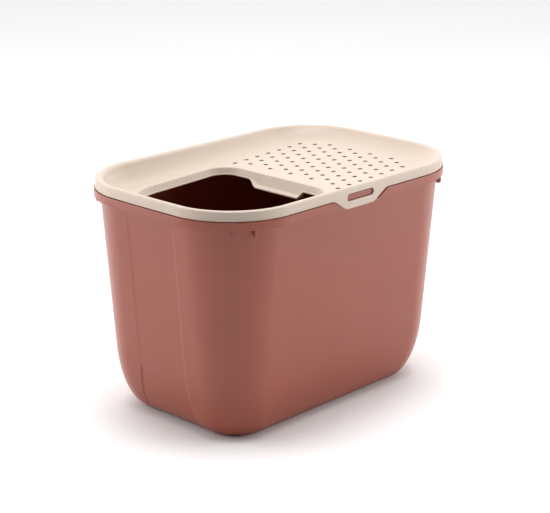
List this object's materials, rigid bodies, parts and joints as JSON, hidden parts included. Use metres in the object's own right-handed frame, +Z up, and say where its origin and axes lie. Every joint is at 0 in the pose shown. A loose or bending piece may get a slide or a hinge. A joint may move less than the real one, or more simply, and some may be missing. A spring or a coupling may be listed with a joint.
{
  "type": "top-entry cat litter box",
  "caption": "Top-entry cat litter box: a deep tapered tub with a rolled rim, closed by a lift-off lid with a sunken perforated deck, an entry opening and springy latch tabs.",
  "frame": {"origin": "centre of the base, on the floor the box stands on", "axes": "+X along the box towards the perforated end of the lid, +Y across it, +Z up"},
  "size_m": [0.585, 0.39, 0.395],
  "materials": {
    "tub_plastic": "semi-gloss injection-moulded polypropylene, terracotta",
    "lid_plastic": "semi-gloss injection-moulded polypropylene, cream"
  },
  "bodies": {
    "tub": {"tub": "tub_plastic"},
    "lid": {"lid": "lid_plastic"},
    "latch_front": {"latch_tab_front": "lid_plastic"},
    "latch_back": {"latch_tab_back": "lid_plastic"}
  },
  "joints": [
    {"name": "lid_lift", "type": "slide", "parent": "tub", "child": "lid", "axis": [0, 0, 1], "range_m": [0, 0.08]},
    {"name": "latch_front_flex", "type": "hinge", "parent": "lid", "child": "latch_front", "pos_m": [0, -0.19185, 0.3793], "axis": [-1, 0, 0], "range_deg": [0, 12], "stiffness_Nm_per_rad": 0.5},
    {"name": "latch_back_flex", "type": "hinge", "parent": "lid", "child": "latch_back", "pos_m": [0, 0.19185, 0.3793], "axis": [1, 0, 0], "range_deg": [0, 12], "stiffness_Nm_per_rad": 0.5}
  ]
}
